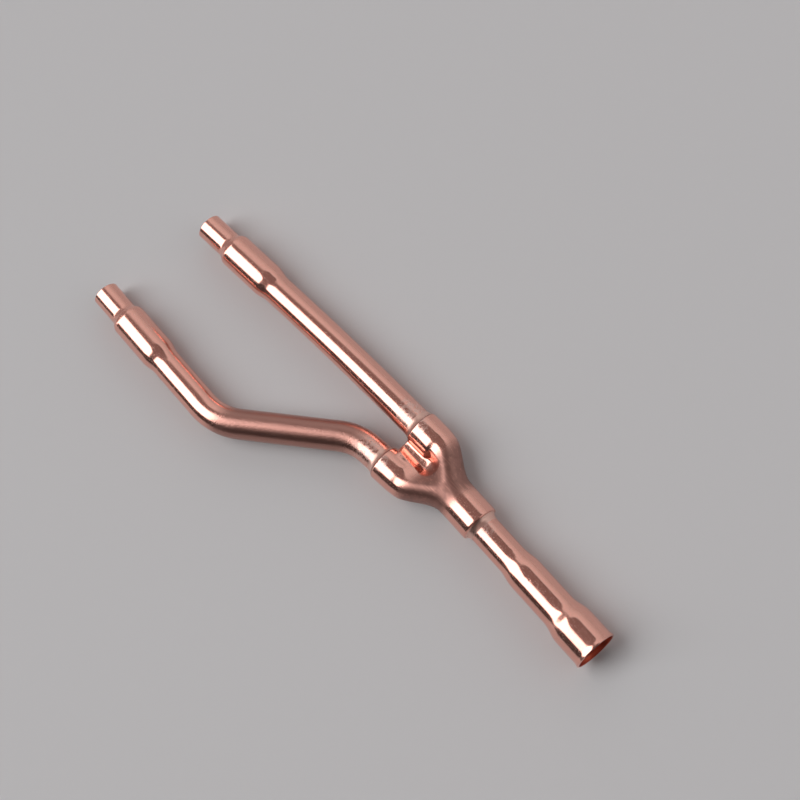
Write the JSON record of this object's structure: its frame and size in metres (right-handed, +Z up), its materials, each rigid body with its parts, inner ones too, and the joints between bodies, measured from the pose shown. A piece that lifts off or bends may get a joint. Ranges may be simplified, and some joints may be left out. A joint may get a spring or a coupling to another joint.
{
  "type": "refrigerant branch joint",
  "caption": "Copper branch joint that splits one refrigerant line in two: pressed Y body with a pinched web, belled trunk socket, straight branch and S-bent branch with stepped sockets.",
  "frame": {"origin": "middle of the joint's length and width, on the floor it lies on", "axes": "+X along the trunk, out of its belled mouth; +Y towards the straight branch's side; +Z up, off the floor. The joint lies flat on its trunk rim and on the two branches' swelled ends."},
  "size_m": [0.2512, 0.0754, 0.0187],
  "materials": {
    "pressed_copper": "bright pressed copper with fine axial brush lines",
    "drawn_copper": "bright drawn copper, heat-dulled next to the brazes",
    "braze_alloy": "smooth copper-phosphorus brazing alloy"
  },
  "bodies": {
    "root": {"y_body": "pressed_copper", "trunk_tube": "drawn_copper", "straight_tube": "drawn_copper", "bent_tube": "drawn_copper", "trunk_braze": "braze_alloy", "straight_braze": "braze_alloy", "bent_braze": "braze_alloy"}
  },
  "joints": []
}
